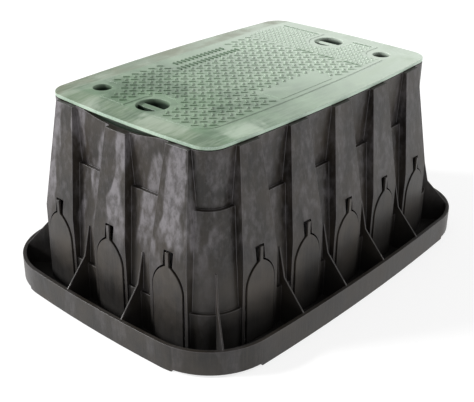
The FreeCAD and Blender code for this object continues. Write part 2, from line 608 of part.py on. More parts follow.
def lid():
    """Crowned lid with a raised tread field, a locating skirt, ribs, lift pockets and cups."""
    top = "Sizes.lid_bottom + Sizes.lid_plate"
    crown = top + " + Sizes.lid_crown"
    plate = prism("lid_plate_block", "lid", "0", "Sizes.lid_bottom", top)
    slope = frustum("lid_crown_block", "0 - Sizes.crown_margin", top, "Sizes.crown_margin", crown,
                    "plateau")
    field = cut("lid_field", prism("lid_plateau", "plateau", "0", crown,
                                   crown + " + Sizes.lid_plateau_rise"),
                fuse("lid_bays", field_bays(crown)))
    skirt = cut("lid_skirt",
                prism("skirt_block", "lid", "0 - Sizes.skirt_inset", "Sizes.skirt_bottom",
                      "Sizes.lid_bottom"),
                prism("skirt_hollow", "lid", "0 - Sizes.skirt_inset - Sizes.skirt_wall",
                      "Sizes.skirt_bottom - %g" % CLEAR, "Sizes.lid_bottom + %g" % CLEAR))
    ribs = []
    rib_deep = "Sizes.lid_bottom - Sizes.skirt_bottom"
    rows, columns = 5, 9
    inner_x = "Sizes.lid_half_length - Sizes.skirt_inset"
    inner_y = "Sizes.lid_half_width - Sizes.skirt_inset"
    for i in range(rows):
        y = "(%g) * (%s) - Sizes.rib_thick / 2" % (2 * (i + 1) / (rows + 1) - 1, inner_y)
        ribs.append(box_block("rib_along_%d" % (i + 1), "-(%s)" % inner_x, y, "Sizes.skirt_bottom",
                              "2 * (%s)" % inner_x, "Sizes.rib_thick", rib_deep))
    for i in range(columns):
        x = "(%g) * (%s) - Sizes.rib_thick / 2" % (2 * (i + 1) / (columns + 1) - 1, inner_x)
        ribs.append(box_block("rib_across_%d" % (i + 1), x, "-(%s)" % inner_y, "Sizes.skirt_bottom",
                              "Sizes.rib_thick", "2 * (%s)" % inner_y, rib_deep))
    grid = doc.addObject("Part::MultiCommon", "rib_grid")
    grid.Shapes = [fuse("ribs", ribs),
                   prism("rib_trim", "lid", "0 - Sizes.skirt_inset - Sizes.skirt_wall / 2",
                         "Sizes.skirt_bottom", "Sizes.lid_bottom")]
    cups, wells, bars = [], [], []
    cup_bottom = "Sizes.cup_floor_top - Sizes.cup_floor"
    for number, (side_x, side_y) in enumerate(BOLT_SIDES, start=1):
        cup_deep = "Sizes.lid_bottom - (%s)" % cup_bottom
        well_deep = "%s + Sizes.lid_plateau_rise - Sizes.cup_floor_top + %g" % (crown, CLEAR)
        x, y = bolt_x(side_x), bolt_y(side_y)
        cups.append(cylinder("bolt_cup_%d" % number, "Sizes.bolt_hole_radius + Sizes.cup_wall",
                             cup_deep, x, y, cup_bottom))
        wells.append(cylinder("bolt_well_%d" % number, "Sizes.bolt_hole_radius", well_deep, x, y,
                              "Sizes.cup_floor_top"))
        wells.append(cylinder("bolt_bore_%d" % number, "Sizes.shank_hole_radius",
                              "Sizes.cup_floor + %g" % (2 * CLEAR), x, y,
                              "%s - %g" % (cup_bottom, CLEAR)))
        cups.append(cylinder("lift_cup_%d" % number, "Sizes.lift_hole_radius + Sizes.cup_wall",
                             cup_deep, x, "0", cup_bottom))
        wells.append(cylinder("lift_well_%d" % number, "Sizes.lift_hole_radius", well_deep, x, "0",
                              "Sizes.cup_floor_top"))
        bars.append(box_block("lift_bar_%d" % number, "%s - Sizes.bar_half" % x,
                              "-Sizes.lift_hole_radius - Sizes.cup_wall / 2",
                              "%s - Sizes.bar_drop - Sizes.bar_deep" % top,
                              "2 * Sizes.bar_half", "2 * Sizes.lift_hole_radius + Sizes.cup_wall",
                              "Sizes.bar_deep"))
    solid = fuse("lid_solid", [plate, slope, field, skirt, grid] + cups)
    drilled = cut("lid_drilled", solid, fuse("lid_wells", wells))
    whole = fuse("lid", [drilled] + bars)
    whole.Label = "lid"
    return whole


# ---------------------------------------------------------------- lock hardware
def lock_bolt(number, x, y):
    """Hex-headed bolt sunk in the lid's cup."""
    head_z = "Sizes.cup_floor_top + Sizes.washer_thick"
    tag = "lock_bolt_%d" % number
    bolt = fuse(tag, [hexagon(tag + "_head", "Sizes.head_flats", "Sizes.head_tall", x, y, head_z),
                      cylinder(tag + "_shank", "Sizes.bolt_radius", "Sizes.bolt_length + %g" % EMBED,
                               x, y, head_z + " - Sizes.bolt_length")])
    bolt.Label = tag
    return bolt


def ring_part(tag, outside, bore, x, y, z, height):
    """Round-bored piece: the given outside block less its bore."""
    piece = cut(tag, outside, cylinder(tag + "_bore", bore, "%s + %g" % (height, 2 * CLEAR), x, y,
                                       "%s - %g" % (z, CLEAR)))
    piece.Label = tag
    return piece


def hardware():
    """Bolt, washer and captive nut for both lock points."""
    pieces = []
    for number, (side_x, side_y) in enumerate(BOLT_SIDES, start=1):
        x, y = bolt_x(side_x), bolt_y(side_y)
        pieces.append(lock_bolt(number, x, y))
        washer = "bolt_washer_%d" % number
        pieces.append(ring_part(washer, cylinder(washer + "_disc", "Sizes.washer_radius",
                                                 "Sizes.washer_thick", x, y, "Sizes.cup_floor_top"),
                                "Sizes.washer_bore", x, y, "Sizes.cup_floor_top",
                                "Sizes.washer_thick"))
        nut, nut_z = "captive_nut_%d" % number, "Sizes.lug_bottom + %g" % NUT_RISE
        pieces.append(ring_part(nut, hexagon(nut + "_block", "Sizes.nut_flats", "Sizes.nut_tall",
                                             x, y, nut_z),
                                "Sizes.nut_bore", x, y, nut_z, "Sizes.nut_tall"))
    return pieces


parts = [box_body(), lid()] + hardware()
parts += [knock_out_plate(wall_name, number, station) for wall_name, number, station in stations()]
doc.recompute()

for item in doc.Objects:
    if any(flag in item.State for flag in ("Invalid", "Error")):
        raise RuntimeError("feature failed: %s %s" % (item.Name, item.State))
for item in parts:
    shape = item.Shape
    if shape.isNull() or not shape.isValid():
        raise RuntimeError("bad shape: %s" % item.Label)

os.makedirs("parts", exist_ok=True)
for item in parts:
    shape = item.Shape
    shape.exportStep("parts/%s.step" % item.Label)
    box = shape.BoundBox
    print("%-20s solids %d  volume %9.1f cm3  x %.1f..%.1f y %.1f..%.1f z %.1f..%.1f" % (
        item.Label, len(shape.Solids), shape.Volume / 1000, box.XMin, box.XMax, box.YMin, box.YMax,
        box.ZMin, box.ZMax))
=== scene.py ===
"""Looks of a rectangular in-ground valve box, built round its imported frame.

Metres throughout.  X runs along the box, Y across it and Z up; the origin is the middle of the
footprint, on the ground.
"""

import logging
import math
from dataclasses import dataclass, replace
from enum import Enum

import bmesh
import bpy
import numpy as np
from mathutils import Matrix, Vector

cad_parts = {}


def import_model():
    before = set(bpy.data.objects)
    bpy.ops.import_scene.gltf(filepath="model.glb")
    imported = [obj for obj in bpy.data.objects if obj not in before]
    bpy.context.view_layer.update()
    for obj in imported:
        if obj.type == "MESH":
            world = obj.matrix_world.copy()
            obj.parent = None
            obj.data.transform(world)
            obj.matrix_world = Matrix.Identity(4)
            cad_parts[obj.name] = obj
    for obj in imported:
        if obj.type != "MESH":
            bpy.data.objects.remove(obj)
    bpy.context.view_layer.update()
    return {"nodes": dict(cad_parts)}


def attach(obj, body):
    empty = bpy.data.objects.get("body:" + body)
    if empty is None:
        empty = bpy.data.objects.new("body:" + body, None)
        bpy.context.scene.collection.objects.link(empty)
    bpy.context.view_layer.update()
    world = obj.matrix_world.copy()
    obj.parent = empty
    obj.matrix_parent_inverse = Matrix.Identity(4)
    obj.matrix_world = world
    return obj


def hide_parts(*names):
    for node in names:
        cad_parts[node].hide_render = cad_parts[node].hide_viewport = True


LOG = logging.getLogger("valve_box")
MM = 0.001
LOCK_X, LOCK_Y = 255.0 * MM, 131.0 * MM
Colour = tuple[float, float, float]


class Slot(Enum):
    """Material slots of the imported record."""

    BODY = "body_plastic"
    PLATE = "plate_plastic"
    LID = "lid_plastic"
    METAL = "zinc_steel"


# ------------------------------------------------------------------ shader maths
class Signal:
    """One output socket of a node tree, used in Python expressions."""

    def __init__(self, paint: "Paint", socket: bpy.types.NodeSocket) -> None:
        """Wrap a socket.

        Args:
            paint: the node tree that holds the socket.
            socket: an output socket.
        """
        self.paint = paint
        self.socket = socket

    def _math(self, operation: str, first: "Signal | float", second: "Signal | float") -> "Signal":
        """Add one Math node and return its value."""
        return self.paint.add("ShaderNodeMath", {"operation": operation}, {0: first, 1: second})

    def __add__(self, other: "Signal | float") -> "Signal":
        """Sum of two values."""
        return self._math("ADD", self, other)

    __radd__ = __add__

    def __sub__(self, other: "Signal | float") -> "Signal":
        """This value less another."""
        return self._math("SUBTRACT", self, other)

    def __rsub__(self, other: float) -> "Signal":
        """A number less this value."""
        return self._math("SUBTRACT", other, self)

    def __mul__(self, other: "Signal | float") -> "Signal":
        """Product of two values."""
        return self._math("MULTIPLY", self, other)

    __rmul__ = __mul__

    def size(self) -> "Signal":
        """Value without its sign."""
        return self._math("ABSOLUTE", self, 0.0)

    def either(self, other: "Signal | float") -> "Signal":
        """Larger of two values."""
        return self._math("MAXIMUM", self, other)

    def ramp(self, low: float, high: float) -> "Signal":
        """Smooth rise from 0 at low to 1 at high."""
        return self.paint.add(
            "ShaderNodeMapRange",
            {"interpolation_type": "SMOOTHSTEP"},
            {"Value": self, "From Min": low, "From Max": high},
        )


class Paint:
    """Node tree of one material, filled by expressions on signals."""

    def __init__(self, name: str) -> None:
        """Start an empty tree with a principled shader.

        Args:
            name: name of the material.
        """
        self.material = bpy.data.materials.new(name)
        self.material.use_nodes = True
        self.tree = self.material.node_tree
        self.tree.nodes.clear()
        output = self.tree.nodes.new("ShaderNodeOutputMaterial")
        self.shader = self.tree.nodes.new("ShaderNodeBsdfPrincipled")
        self.tree.links.new(self.shader.outputs[0], output.inputs["Surface"])

    def add(
        self,
        kind: str,
        settings: dict[str, object] | None = None,
        inputs: dict[int | str, object] | None = None,
        output: int | str = 0,
    ) -> Signal:
        """Add any node.

        Args:
            kind: Blender's type name for the node.
            settings: the node's own settings, which are set first.
            inputs: values or signals for its sockets, by index or name.
            output: which output socket is wanted.

        Returns:
            That output as a signal.
        """
        node = self.tree.nodes.new(kind)
        for key, value in (settings or {}).items():
            setattr(node, key, value)
        for key, value in (inputs or {}).items():
            self.plug(node.inputs[key], value)
        return Signal(self, node.outputs[output])

    def plug(self, socket: bpy.types.NodeSocket, value: object) -> None:
        """Link a signal to a socket, or set the socket's own value."""
        if isinstance(value, Signal):
            self.tree.links.new(value.socket, socket)
        elif isinstance(value, tuple) and len(value) == 3 and socket.type == "RGBA":
            socket.default_value = (*value, 1.0)
        else:
            socket.default_value = value

    def place(self) -> Signal:
        """Object coordinates of the surface."""
        return self.add("ShaderNodeTexCoord", output="Object")

    def axis(self, vector: Signal, name: str) -> Signal:
        """One component of a vector."""
        return self.add("ShaderNodeSeparateXYZ", inputs={0: vector}, output=name)

    def facing(self, name: str) -> Signal:
        """One component of the surface's true normal."""
        return self.axis(self.add("ShaderNodeNewGeometry", output="True Normal"), name)

    def stretch(self, vector: Signal, scale: Colour) -> Signal:
        """Vector with each component scaled."""
        return self.add("ShaderNodeVectorMath", {"operation": "MULTIPLY"}, {0: vector, 1: scale})

    def moved(self, vector: Signal, offset: float) -> Signal:
        """Vector with the same length added to each component."""
        return self.add("ShaderNodeVectorMath", {"operation": "ADD"},
                        {0: vector, 1: (offset, offset, offset)})

    def noise(
        self, vector: Signal, scale: float, detail: float = 3.0, rough: float = 0.55,
        twist: float = 0.0,
    ) -> Signal:
        """Fractal noise from about 0.25 to 0.75."""
        return self.add(
            "ShaderNodeTexNoise",
            inputs={"Vector": vector, "Scale": scale, "Detail": detail, "Roughness": rough,
                    "Distortion": twist},
        )

    def stirred(self, vector: Signal, scale: float, amount: float) -> Signal:
        """Vector pushed about by a slow colour noise, so patterns on it swirl.

        Args:
            vector: where the pattern is read.
            scale: how fine the swirls are.
            amount: how far a point is pushed, in metres.

        Returns:
            The pushed vector.
        """
        swirl = self.add("ShaderNodeTexNoise", inputs={"Vector": vector, "Scale": scale,
                                                       "Detail": 2.0}, output="Color")
        centred = self.add("ShaderNodeVectorMath", {"operation": "SUBTRACT"},
                           {0: swirl, 1: (0.5, 0.5, 0.5)})
        push = self.add("ShaderNodeVectorMath", {"operation": "MULTIPLY"},
                        {0: centred, 1: (amount, amount, amount)})
        return self.add("ShaderNodeVectorMath", {"operation": "ADD"}, {0: vector, 1: push})

    def within(self, flat: Signal, centre: Colour, radius: float) -> Signal:
        """1 inside a circle drawn on the flattened place, and 0 outside it."""
        away = self.add("ShaderNodeVectorMath", {"operation": "DISTANCE"}, {0: flat, 1: centre},
                        output="Value")
        return 1.0 - away.ramp(radius, radius + 0.0006)

    def mix(self, share: Signal | float, first: Signal | Colour, second: Signal | Colour) -> Signal:
        """Blend of two colours.

        Args:
            share: 0 gives the first colour and 1 the second.
            first: a colour or a colour signal.
            second: a colour or a colour signal.

        Returns:
            The blended colour.
        """
        node = self.tree.nodes.new("ShaderNodeMix")
        node.data_type = "RGBA"
        self.plug(node.inputs[0], share)
        self.plug(node.inputs[6], first)
        self.plug(node.inputs[7], second)
        return Signal(self, node.outputs[2])

    def bump(self, height: Signal, depth: float, strength: float,
             under: Signal | None = None) -> Signal:
        """Normal for a small relief.

        Args:
            height: relief from 0 to 1.
            depth: how deep a step from 0 to 1 is, in metres.
            strength: share of the effect.
            under: normal that this relief is laid over.

        Returns:
            The normal.
        """
        inputs: dict[int | str, object] = {"Height": height, "Distance": depth,
                                           "Strength": strength}
        if under is not None:
            inputs["Normal"] = under
        return self.add("ShaderNodeBump", inputs=inputs)

    def finish(self, **values: object) -> bpy.types.Material:
        """Set the shader's sockets, named with underscores for spaces, and return the material."""
        for key, value in values.items():
            self.plug(self.shader.inputs[key.replace("_", " ")], value)
        return self.material


# ------------------------------------------------------------------ finishes
@dataclass(frozen=True)
class BodyPlastic:
    """Recycled black moulding plastic: pale flow flames, upright scuffs and settled dust."""

    name: str = "body_plastic"
    deep: Colour = (0.0070, 0.0058, 0.0048)
    warm: Colour = (0.0320, 0.0255, 0.0190)
    pale: Colour = (0.1750, 0.1640, 0.1740)
    dust: Colour = (0.0200, 0.0165, 0.0125)
    # painted shade for the foot of the walls and the trough
    damp: Colour = (0.0040, 0.0035, 0.0030)
    # painted shade for the thin line over the ledge
    soil: Colour = (0.0025, 0.0023, 0.0021)
    flow_strength: float = 1.0
    flow_offset: float = 17.4
    # share of pale on the rounded edges: wear, and painted highlight where light catches them
    wear: float = 0.0
    rim_inner_x: float = 0.286
    rim_inner_y: float = 0.168

    def on_rim(self, paint: Paint, place: Signal) -> Signal:
        """1 on the flange's rim: far from a rectangle drawn inside it, measured in plan."""
        away_x = (paint.axis(place, "X").size() - self.rim_inner_x).either(0.0)
        away_y = (paint.axis(place, "Y").size() - self.rim_inner_y).either(0.0)
        return (away_x * away_x + away_y * away_y).ramp(0.0142, 0.0150)

    def material(self) -> bpy.types.Material:
        """Build the material and return it."""
        paint = Paint(self.name)
        place = paint.place()
        height = paint.axis(place, "Z")
        ends = paint.axis(place, "X").size().ramp(0.300, 0.345)
        stirred = paint.stirred(place, 9.0, 0.05)
        shifted = paint.moved(paint.stretch(stirred, (25.0, 25.0, 6.0)), self.flow_offset)
        flame = paint.noise(shifted, 1.0, 2.0, 0.5)
        mottle = paint.noise(paint.stretch(place, (85.0, 85.0, 50.0)), 1.0, 4.0, 0.65)
        scuff = paint.noise(paint.stretch(place, (260.0, 260.0, 9.0)), 1.0, 3.0, 0.6)
        clouds = paint.noise(place, 13.0, 4.0, 0.6)
        grit = paint.noise(place, 620.0, 2.0, 0.5)
        upper = height.ramp(0.13, 0.23)
        flow = flame.ramp(0.48, 0.58) * (mottle.ramp(0.30, 0.66) * 0.70 + 0.30)
        flow = flow * (ends * 0.78 + 0.20) * (upper * 0.80 + 0.14) * self.flow_strength
        base = paint.mix(clouds.ramp(0.30, 0.72), self.deep, self.warm)
        base = paint.mix(scuff.ramp(0.44, 0.74) * 0.5, base, self.warm)
        base = paint.mix(mottle.ramp(0.42, 0.72) * (upper * 0.20 + 0.04), base, self.pale)
        base = paint.mix(flow, base, self.pale)
        # paler rounded edges: wear, and painted highlight
        base = paint.mix(self.wear, base, self.pale)
        lying = paint.facing("Z")
        settled = lying.ramp(0.35, 0.95) * (clouds.ramp(0.30, 0.60) * 0.6 + 0.2)
        base = paint.mix(settled, base, self.dust)
        # painted shade darkens the foot of the walls and the trough, but not the rim
        low = (1.0 - height.ramp(0.015, 0.125)) * (1.0 - self.on_rim(paint, place))
        base = paint.mix(low * 0.75, base, self.damp)
        # painted shade: a thin dark line in the corner over the ledge, on the foot of the upright
        # wall
        corner = (height.ramp(0.2676, 0.2680) * (1.0 - height.ramp(0.2692, 0.2700))
                  * (1.0 - lying.size().ramp(0.010, 0.025)))
        colour = paint.mix(corner * 0.92, base, self.soil)
        relief = paint.bump(grit, 0.0005, 0.35)
        relief = paint.bump(scuff, 0.0007, 0.28, relief)
        relief = paint.bump(mottle, 0.0012, 0.22, relief)
        rough = clouds * 0.30 + mottle * 0.16 + low * 0.35 + 0.18
        return paint.finish(Base_Color=colour, Roughness=rough, Normal=relief,
                            Specular_IOR_Level=0.42)


@dataclass(frozen=True)
class LidPlastic:
    """Weathered pale green moulding plastic, with painted reflection toward the +X end and on the
    border.

    Each entry of cups is the place of a cup in plan, in X, Y and zero, with its radius.
    """

    name: str = "lid_plastic"
    deep: Colour = (0.078, 0.140, 0.080)
    green: Colour = (0.172, 0.272, 0.166)
    bleach: Colour = (0.660, 0.750, 0.655)
    milk: Colour = (0.520, 0.610, 0.500)
    earth: Colour = (0.215, 0.205, 0.155)
    edge: Colour = (0.430, 0.560, 0.460)
    # painted shade for the cups and under the plate
    grime: Colour = (0.0065, 0.0160, 0.0090)
    cups: tuple[tuple[Colour, float], ...] = (
        ((-0.255, 0.0, 0.0), 0.0306), ((0.255, 0.0, 0.0), 0.0306),
        ((-0.255, 0.131, 0.0), 0.0181), ((0.255, -0.131, 0.0), 0.0181))

    def in_cups(self, paint: Paint, place: Signal) -> Signal:
        """1 over any of the four cups, and 0 elsewhere, seen in plan."""
        flat = paint.stretch(place, (1.0, 1.0, 0.0))
        inside = paint.within(flat, *self.cups[0])
        for centre, radius in self.cups[1:]:
            inside = inside.either(paint.within(flat, centre, radius))
        return inside

    def material(self) -> bpy.types.Material:
        """Build the material and return it."""
        paint = Paint(self.name)
        place = paint.place()
        height = paint.axis(place, "Z")
        along = paint.axis(place, "X")
        across = paint.axis(place, "Y")
        stirred = paint.stirred(place, 5.5, 0.12)
        swirl = paint.noise(paint.stretch(stirred, (6.0, 13.0, 6.0)), 1.0, 5.0, 0.6, 0.6)
        clouds = paint.noise(place, 17.0, 4.0, 0.6)
        grit = paint.noise(place, 620.0, 2.0, 0.5)
        brushed = paint.noise(paint.stretch(place, (24.0, 190.0, 60.0)), 1.0, 3.0, 0.6)
        far = across.ramp(0.158, 0.172)
        near = (across * -1.0).ramp(0.150, 0.185)
        ends = along.size().ramp(0.284, 0.300)
        border = across.size().ramp(0.156, 0.176).either(ends)
        sheen_share = along.ramp(-0.42, 0.42)
        base = paint.mix(clouds.ramp(0.30, 0.70), self.deep, self.green)
        # painted reflection: the lid lightens toward the +X end
        base = paint.mix(sheen_share, base, self.bleach)
        # milky swirl streaks of the plastic, made stronger on the border and near side as painted
        # reflection
        streaks = swirl.ramp(0.49, 0.62) * (border * 0.35 + 0.24 + near * sheen_share * 0.6)
        base = paint.mix(streaks, base, self.milk)
        # painted reflection: brushed streaks lighten the border
        base = paint.mix(brushed.ramp(0.36, 0.72) * border * 0.28, base, self.milk)
        soiled = far.either(ends * (1.0 - sheen_share) * 0.4) * (clouds.ramp(0.35, 0.65) * 0.45 + 0.18)
        base = paint.mix(soiled, base, self.earth)
        upright = (1.0 - paint.facing("Z").size()).ramp(0.25, 0.90) * height.ramp(0.3722, 0.3730)
        outer = across.size().ramp(0.170, 0.190).either(along.size().ramp(0.315, 0.330))
        base = paint.mix(upright * outer * (grit.ramp(0.40, 0.60) * 0.35 + 0.45), base, self.edge)
        # painted shade darkens the cups, but not the lift bars' tops, and everything under the
        # plate
        bar_top = paint.facing("Z").ramp(0.60, 0.85) * height.ramp(0.3712, 0.3718)
        depth = 1.0 - height.ramp(0.3715, 0.3822)
        sunk = (self.in_cups(paint, place) * depth * (1.0 - bar_top)).either(
            1.0 - height.ramp(0.3640, 0.3718))
        colour = paint.mix(sunk * 0.96, base, self.grime)
        relief = paint.bump(grit, 0.0004, 0.35)
        relief = paint.bump(swirl, 0.0020, 0.15, relief)
        relief = paint.bump(brushed, 0.0004, 0.25, relief)
        rough = clouds * 0.26 + grit * 0.08 + 0.28
        return paint.finish(Base_Color=colour, Roughness=rough, Normal=relief,
                            Specular_IOR_Level=0.5)


@dataclass(frozen=True)
class ZincSteel:
    """Zinc-plated steel, dulled by wet earth."""

    name: str = "zinc_steel"
    bright: Colour = (0.52, 0.53, 0.53)
    dull: Colour = (0.22, 0.20, 0.17)

    def material(self) -> bpy.types.Material:
        """Build the material and return it."""
        paint = Paint(self.name)
        place = paint.place()
        spots = paint.noise(place, 160.0, 4.0, 0.6)
        grit = paint.noise(place, 1500.0, 2.0, 0.5)
        dulled = spots.ramp(0.45, 0.62)
        colour = paint.mix(dulled * 0.7, self.bright, self.dull)
        rough = dulled * 0.30 + grit * 0.10 + 0.25
        relief = paint.bump(spots, 0.0002, 0.4)
        return paint.finish(Base_Color=colour, Roughness=rough, Metallic=0.9, Normal=relief)


@dataclass(frozen=True)
class PaleFloor:
    """Plain matt white studio floor, lit a little from beneath all round the box."""

    name: str = "pale_floor"
    white: Colour = (0.38, 0.38, 0.38)
    glow: float = 0.74
    dark_x: float = 0.350
    dark_y: float = 0.240

    def material(self) -> bpy.types.Material:
        """Build the material and return it."""
        paint = Paint(self.name)
        place = paint.place()
        outside = paint.axis(place, "X").size().ramp(self.dark_x, self.dark_x + 0.01).either(
            paint.axis(place, "Y").size().ramp(self.dark_y, self.dark_y + 0.01))
        light = paint.mix(outside, (0.0, 0.0, 0.0), (1.0, 1.0, 1.0))
        return paint.finish(Base_Color=self.white, Roughness=0.9, Specular_IOR_Level=0.1,
                            Emission_Color=light, Emission_Strength=self.glow)


# ------------------------------------------------------------------ mesh helpers
def make_object(name: str, mesh: bpy.types.Mesh, material: bpy.types.Material,
                smooth: bool = True) -> bpy.types.Object:
    """Link a mesh into the scene as one object.

    Args:
        name: name of the piece.
        mesh: its mesh, already in its place.
        material: its first material.
        smooth: whether its faces are shaded as one round surface.

    Returns:
        The object, at the origin.
    """
    mesh.materials.clear()
    mesh.materials.append(material)
    mesh.polygons.foreach_set("use_smooth", np.full(len(mesh.polygons), smooth))
    obj = bpy.data.objects.new(name, mesh)
    bpy.context.scene.collection.objects.link(obj)
    return obj


def mesh_of(name: str, points: np.ndarray, faces: list[np.ndarray]) -> bpy.types.Mesh:
    """Put worked-out points and faces into a mesh.

    Args:
        name: name of the mesh.
        points: N by 3 array of places.
        faces: arrays of vertex numbers, one row a face, each array of one face size.

    Returns:
        The mesh, with its normals made to point outwards.
    """
    mesh = bpy.data.meshes.new(name)
    rows = [row for block in faces for row in block.tolist()]
    mesh.from_pydata(points.reshape(-1, 3).tolist(), [], rows)
    solid = bmesh.new()
    solid.from_mesh(mesh)
    bmesh.ops.remove_doubles(solid, verts=solid.verts, dist=1e-7)
    bmesh.ops.recalc_face_normals(solid, faces=solid.faces)
    solid.to_mesh(mesh)
    solid.free()
    return mesh


def ring_faces(rings: int, around: int) -> np.ndarray:
    """Quads between closed rings of points that follow each other in one array."""
    ring, step = np.meshgrid(np.arange(rings - 1), np.arange(around), indexing="ij")
    after = (step + 1) % around
    return np.stack(
        [ring * around + step, ring * around + after, (ring + 1) * around + after,
         (ring + 1) * around + step], axis=-1).reshape(-1, 4)


def closed_stack(rings: np.ndarray) -> tuple[np.ndarray, list[np.ndarray]]:
    """Close a stack of rings with a flat fan at each end.

    Args:
        rings: R by A by 3 array; ring 0 is one end and ring R-1 the other.

    Returns:
        All points, and the face arrays.
    """
    count, around = rings.shape[:2]
    centres = rings[[0, -1]].mean(axis=1)
    points = np.concatenate([rings.reshape(-1, 3), centres])
    step = np.arange(around)
    after = (step + 1) % around
    foot = np.stack([np.full(around, count * around), after, step], axis=-1)
    last = (count - 1) * around
    head = np.stack([np.full(around, count * around + 1), last + step, last + after], axis=-1)
    return points, [ring_faces(count, around), foot, head]


def stamped(shape: np.ndarray, faces: list[np.ndarray], centres: np.ndarray,
            turns: np.ndarray) -> tuple[np.ndarray, list[np.ndarray]]:
    """Repeat one small shape at many places.

    Args:
        shape: K by 3 points of the shape about its own centre.
        faces: its face arrays.
        centres: N by 3 places.
        turns: N angles about Z.

    Returns:
        The points and face arrays of all copies: each point is the shape's point turned by its
        copy's angle and moved to its copy's centre.
    """
    cos, sin = np.cos(turns)[:, None], np.sin(turns)[:, None]
    x = shape[None, :, 0] * cos - shape[None, :, 1] * sin
    y = shape[None, :, 0] * sin + shape[None, :, 1] * cos
    z = np.broadcast_to(shape[None, :, 2], x.shape)
    points = np.stack([x, y, z], axis=-1) + centres[:, None, :]
    offsets = (np.arange(len(centres)) * len(shape))[:, None, None]
    return points.reshape(-1, 3), [(block[None] + offsets).reshape(-1, block.shape[1])
                                   for block in faces]


def rounded_outline(half_x: float, half_y: float, radius: float, around: int) -> np.ndarray:
    """Rounded rectangle: each corner arc takes a quarter of the points; the straights join them."""
    angle = (np.arange(around) + 0.5) * 2 * math.pi / around
    centre = np.stack([np.sign(np.cos(angle)) * (half_x - radius),
                       np.sign(np.sin(angle)) * (half_y - radius)], axis=-1)
    return centre + radius * np.stack([np.cos(angle), np.sin(angle)], axis=-1)


def soft_slab(half_x: float, half_y: float, radius: float, tall: float, around: int,
              sunk: float = 0.3 * MM,
              soft: float = 0.5 * MM) -> tuple[np.ndarray, list[np.ndarray]]:
    """Raised slab with a rounded-off top edge.

    The rings are the outline at the foot, the outline just under the top, and two outlines drawn
    in and lifted along a quarter circle of the given softness.

    Args:
        half_x: half size along its own X.
        half_y: half size along its own Y.
        radius: radius of its corners in plan.
        tall: height over the face it stands on.
        around: points in each ring.
        sunk: how far its foot is buried.
        soft: radius of the top edge.

    Returns:
        Points and face arrays.
    """
    rings = []
    for inset, level in ((0.0, -sunk), (0.0, tall - soft), (0.3 * soft, tall - 0.3 * soft),
                         (soft, tall)):
        corner = max(radius - inset, 0.1 * MM)
        flat = rounded_outline(half_x - inset, half_y - inset, corner, around)
        rings.append(np.concatenate([flat, np.full((around, 1), level)], axis=1))
    return closed_stack(np.array(rings))


def turned(profile: list[tuple[float, float]], centre: Colour, around: int) -> tuple[
        np.ndarray, list[np.ndarray]]:
    """Closed profile of radius and height carried round an upright axis.

    Args:
        profile: radius and height pairs; the last joins the first.
        centre: foot of the axis.
        around: points round the axis.

    Returns:
        Points and face arrays.
    """
    radius, level = np.array(profile).T
    angle = np.arange(around) * 2 * math.pi / around
    x = radius[:, None] * np.cos(angle)[None, :]
    y = radius[:, None] * np.sin(angle)[None, :]
    z = np.broadcast_to(level[:, None], x.shape)
    rings = np.stack([x, y, z], axis=-1) + np.array(centre)
    rings = np.concatenate([rings, rings[:1]])
    return rings.reshape(-1, 3), [ring_faces(len(rings), around)]


@dataclass(frozen=True)
class Softening:
    """How the sharp edges of a carried-over shape are rounded off."""

    width: float = 0.9 * MM
    segments: int = 2
    angle: float = 32.0
    weld: float = 0.02 * MM
    flat_angle: float = 0.4

    def copy_of(self, node: bpy.types.Object, name: str, material: bpy.types.Material,
                worn_highlight: bpy.types.Material | None = None) -> bpy.types.Object:
        """Merged copy of a frame node with rounded edges.

        Args:
            node: the frame node, which is left alone.
            name: name of the new piece.
            material: its material.
            worn_highlight: material of the rounded edges, where it differs.

        Returns:
            The new piece.
        """
        mesh = bpy.data.meshes.new(name)
        solid = bmesh.new()
        solid.from_mesh(node.data)
        bmesh.ops.remove_doubles(solid, verts=solid.verts, dist=self.weld)
        bmesh.ops.dissolve_limit(solid, angle_limit=math.radians(self.flat_angle),
                                 verts=solid.verts, edges=solid.edges)
        solid.to_mesh(mesh)
        solid.free()
        obj = make_object(name, mesh, material)
        bevel = obj.modifiers.new("soft_edges", "BEVEL")
        bevel.width = self.width
        bevel.segments = self.segments
        bevel.limit_method = "ANGLE"
        bevel.angle_limit = math.radians(self.angle)
        bevel.use_clamp_overlap = False
        bevel.miter_outer = "MITER_ARC"
        if worn_highlight is not None:
            mesh.materials.append(worn_highlight)
            bevel.material = 1
        weighted = obj.modifiers.new("even_shading", "WEIGHTED_NORMAL")
        weighted.weight = 60
        return obj


def top_of(node: bpy.types.Object) -> float:
    """Highest level of a frame node."""
    places = np.empty(len(node.data.vertices) * 3)
    node.data.vertices.foreach_get("co", places)
    return float(places[2::3].max())


def place_piece(obj: bpy.types.Object, body: str, slot: Slot, *nodes: str) -> None:
    """Ride a piece on its body and hide the frame nodes it stands for."""
    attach(obj, body)
    if nodes:
        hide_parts(*nodes)
    LOG.info("%s rides on %s", obj.name, body)


